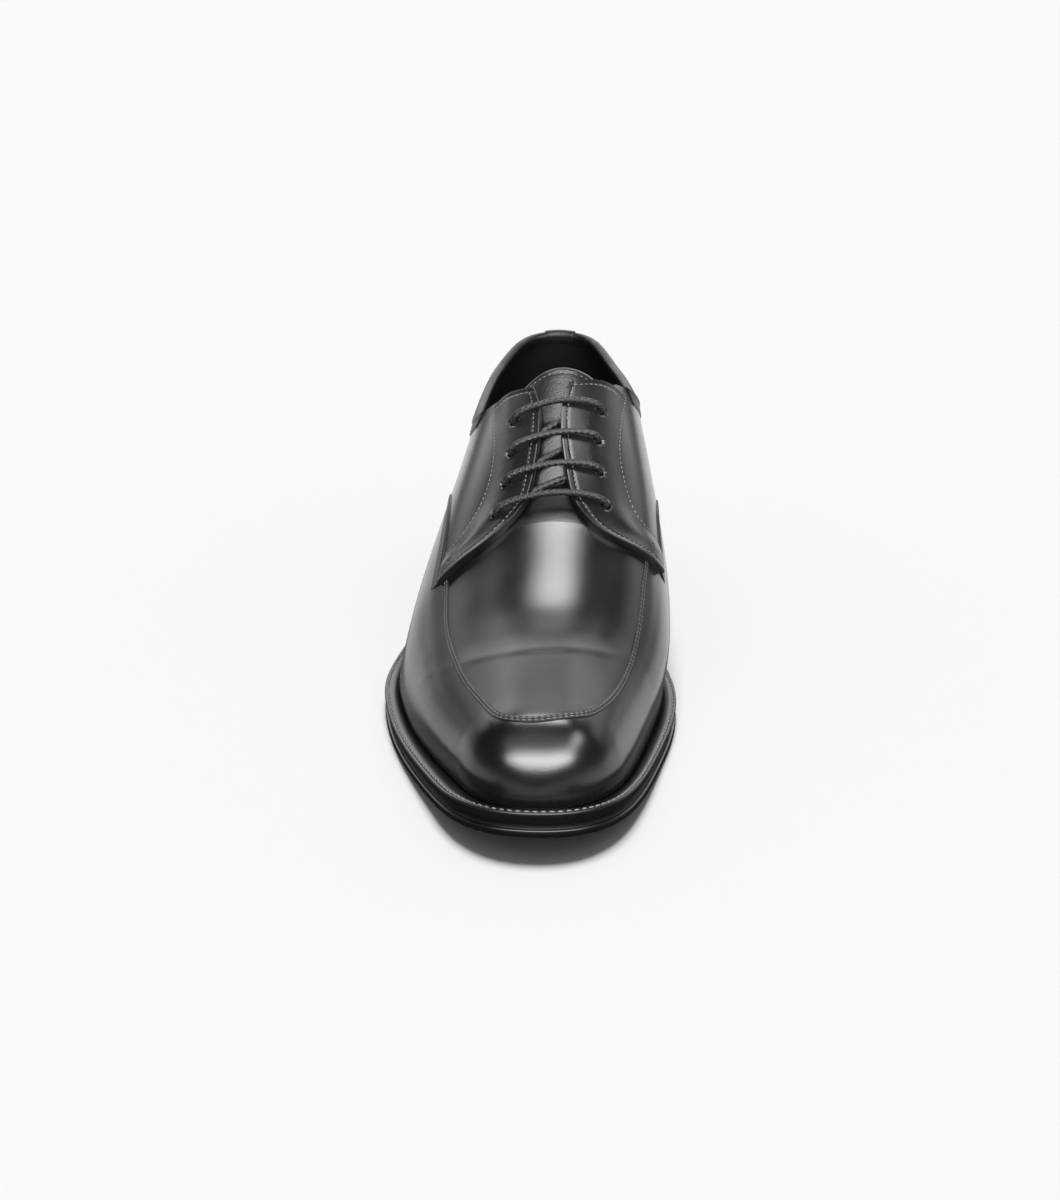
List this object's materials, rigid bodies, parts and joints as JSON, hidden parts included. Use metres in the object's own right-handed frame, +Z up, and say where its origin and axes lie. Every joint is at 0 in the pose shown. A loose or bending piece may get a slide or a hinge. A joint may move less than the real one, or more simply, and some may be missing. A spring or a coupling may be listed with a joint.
{
  "type": "moc toe derby shoe",
  "caption": "Black leather lace-up dress shoe with a moc toe apron, open lacing, stitched welt and low heel; a right shoe, empty, standing on its sole.",
  "frame": {"origin": "on the floor, under the middle of the sole's box", "axes": "+Z up, -Y towards the toe, +X towards the medial side, which is the wearer's left"},
  "size_m": [0.104, 0.3024, 0.1091],
  "materials": {
    "leather": "polished smooth black calf",
    "trim_leather": "smooth black leather, seams and bindings",
    "lining": "matt black lining leather",
    "sole": "satin black",
    "welt": "satin black, stitched",
    "lace": "fine round braid, waxed"
  },
  "bodies": {
    "root": {"upper": "leather", "facing_lateral": "leather", "facing_medial": "leather", "tongue": "leather", "apron_seam": "trim_leather", "wing_lateral": "trim_leather", "wing_medial": "trim_leather", "collar_band": "trim_leather", "heel_tab": "trim_leather", "insole": "lining", "welt": "welt", "outsole": "sole", "heel": "sole", "lace": "lace"}
  },
  "joints": []
}
